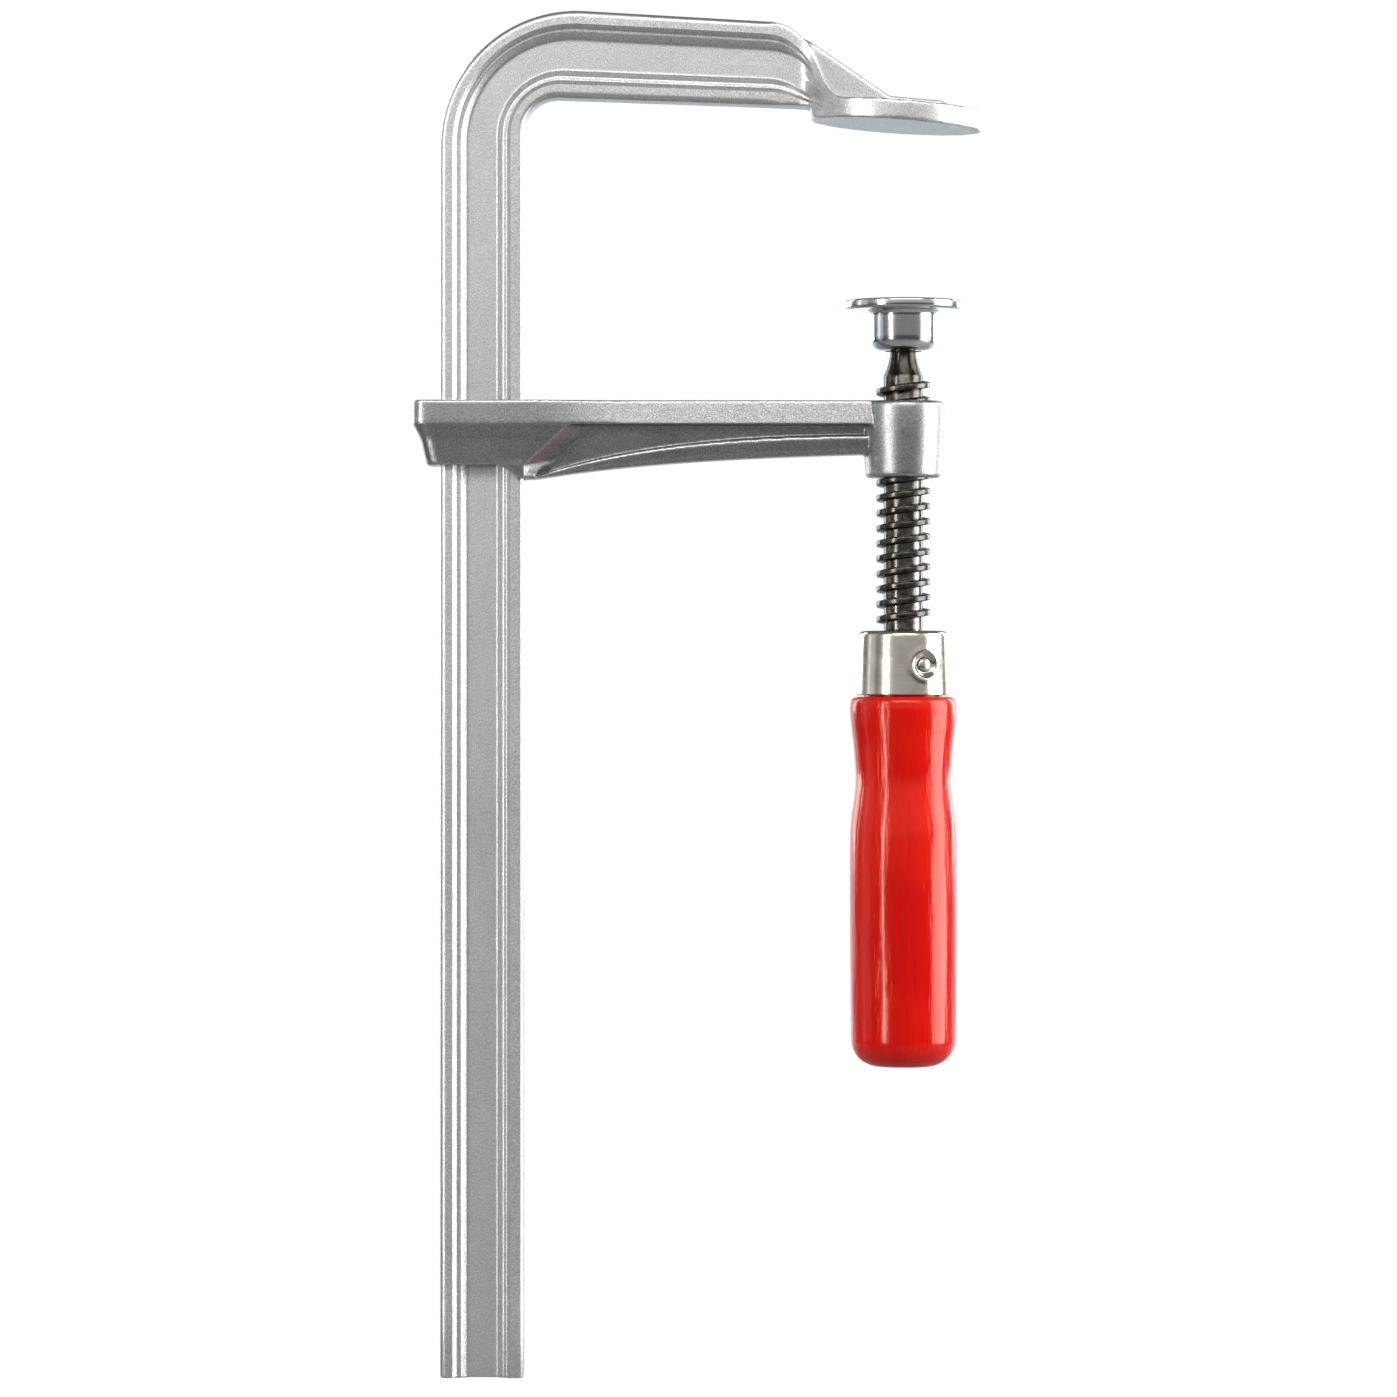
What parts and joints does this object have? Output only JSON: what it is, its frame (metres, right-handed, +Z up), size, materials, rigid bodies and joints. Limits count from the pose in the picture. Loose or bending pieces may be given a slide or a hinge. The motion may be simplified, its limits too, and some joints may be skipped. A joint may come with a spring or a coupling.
{
  "type": "f clamp",
  "caption": "All-steel F clamp: grooved rail forged with its fixed jaw, sliding arm with a tapped boss, and a screw with a swivelling pressure plate and a turned wooden handle.",
  "frame": {"origin": "centre of the fixed jaw's clamping face, where the screw's axis meets it", "axes": "+Z up along the rail and the screw, +X from the rail towards the jaw's tip, Y across the rail's thickness"},
  "size_m": [0.1498, 0.0398, 0.3598],
  "materials": {
    "zinc_rail": "drawn and zinc plated, fine grain, satin",
    "zinc_forging": "drop forged and zinc plated, blasted grain, satin",
    "burnished_screw": "rolled thread, burnished near black, glossy",
    "bright_zinc": "turned and bright zinc plated",
    "spring_steel": "bare spring wire",
    "nickel_sleeve": "drawn sheet, nickel plated, polished",
    "pin_steel": "cropped steel pin",
    "red_lacquered_wood": "turned hardwood, red lacquer, glossy"
  },
  "bodies": {
    "rail_body": {"rail": "zinc_rail"},
    "arm_body": {"sliding_arm": "zinc_forging"},
    "plate_carrier": {"snap_ring": "spring_steel"},
    "plate_body": {"pressure_plate": "bright_zinc"},
    "screw_body": {"spindle": "burnished_screw", "ferrule": "nickel_sleeve", "cross_pin": "pin_steel", "handle": "red_lacquered_wood"}
  },
  "joints": [
    {"name": "arm_slide", "type": "slide", "parent": "rail_body", "child": "arm_body", "axis": [0, 0, 1], "range_m": [-0.235, 0.011]},
    {"name": "screw_feed", "type": "slide", "parent": "arm_body", "child": "plate_carrier", "axis": [0, 0, 1], "range_m": [-0.012, 0.03]},
    {"name": "screw_turn", "type": "hinge", "parent": "plate_carrier", "child": "screw_body", "pos_m": [0, 0, -0.0824], "axis": [0, 0, 1], "range_deg": [-1080, 2700]},
    {"name": "plate_tilt", "type": "hinge", "parent": "plate_carrier", "child": "plate_body", "pos_m": [0, 0, -0.05362], "axis": [0, 1, 0], "range_deg": [-10, 10]}
  ],
  "couplings": [
    {"joint": "screw_turn", "follows": "screw_feed", "rad_per_m": 1570.8}
  ]
}
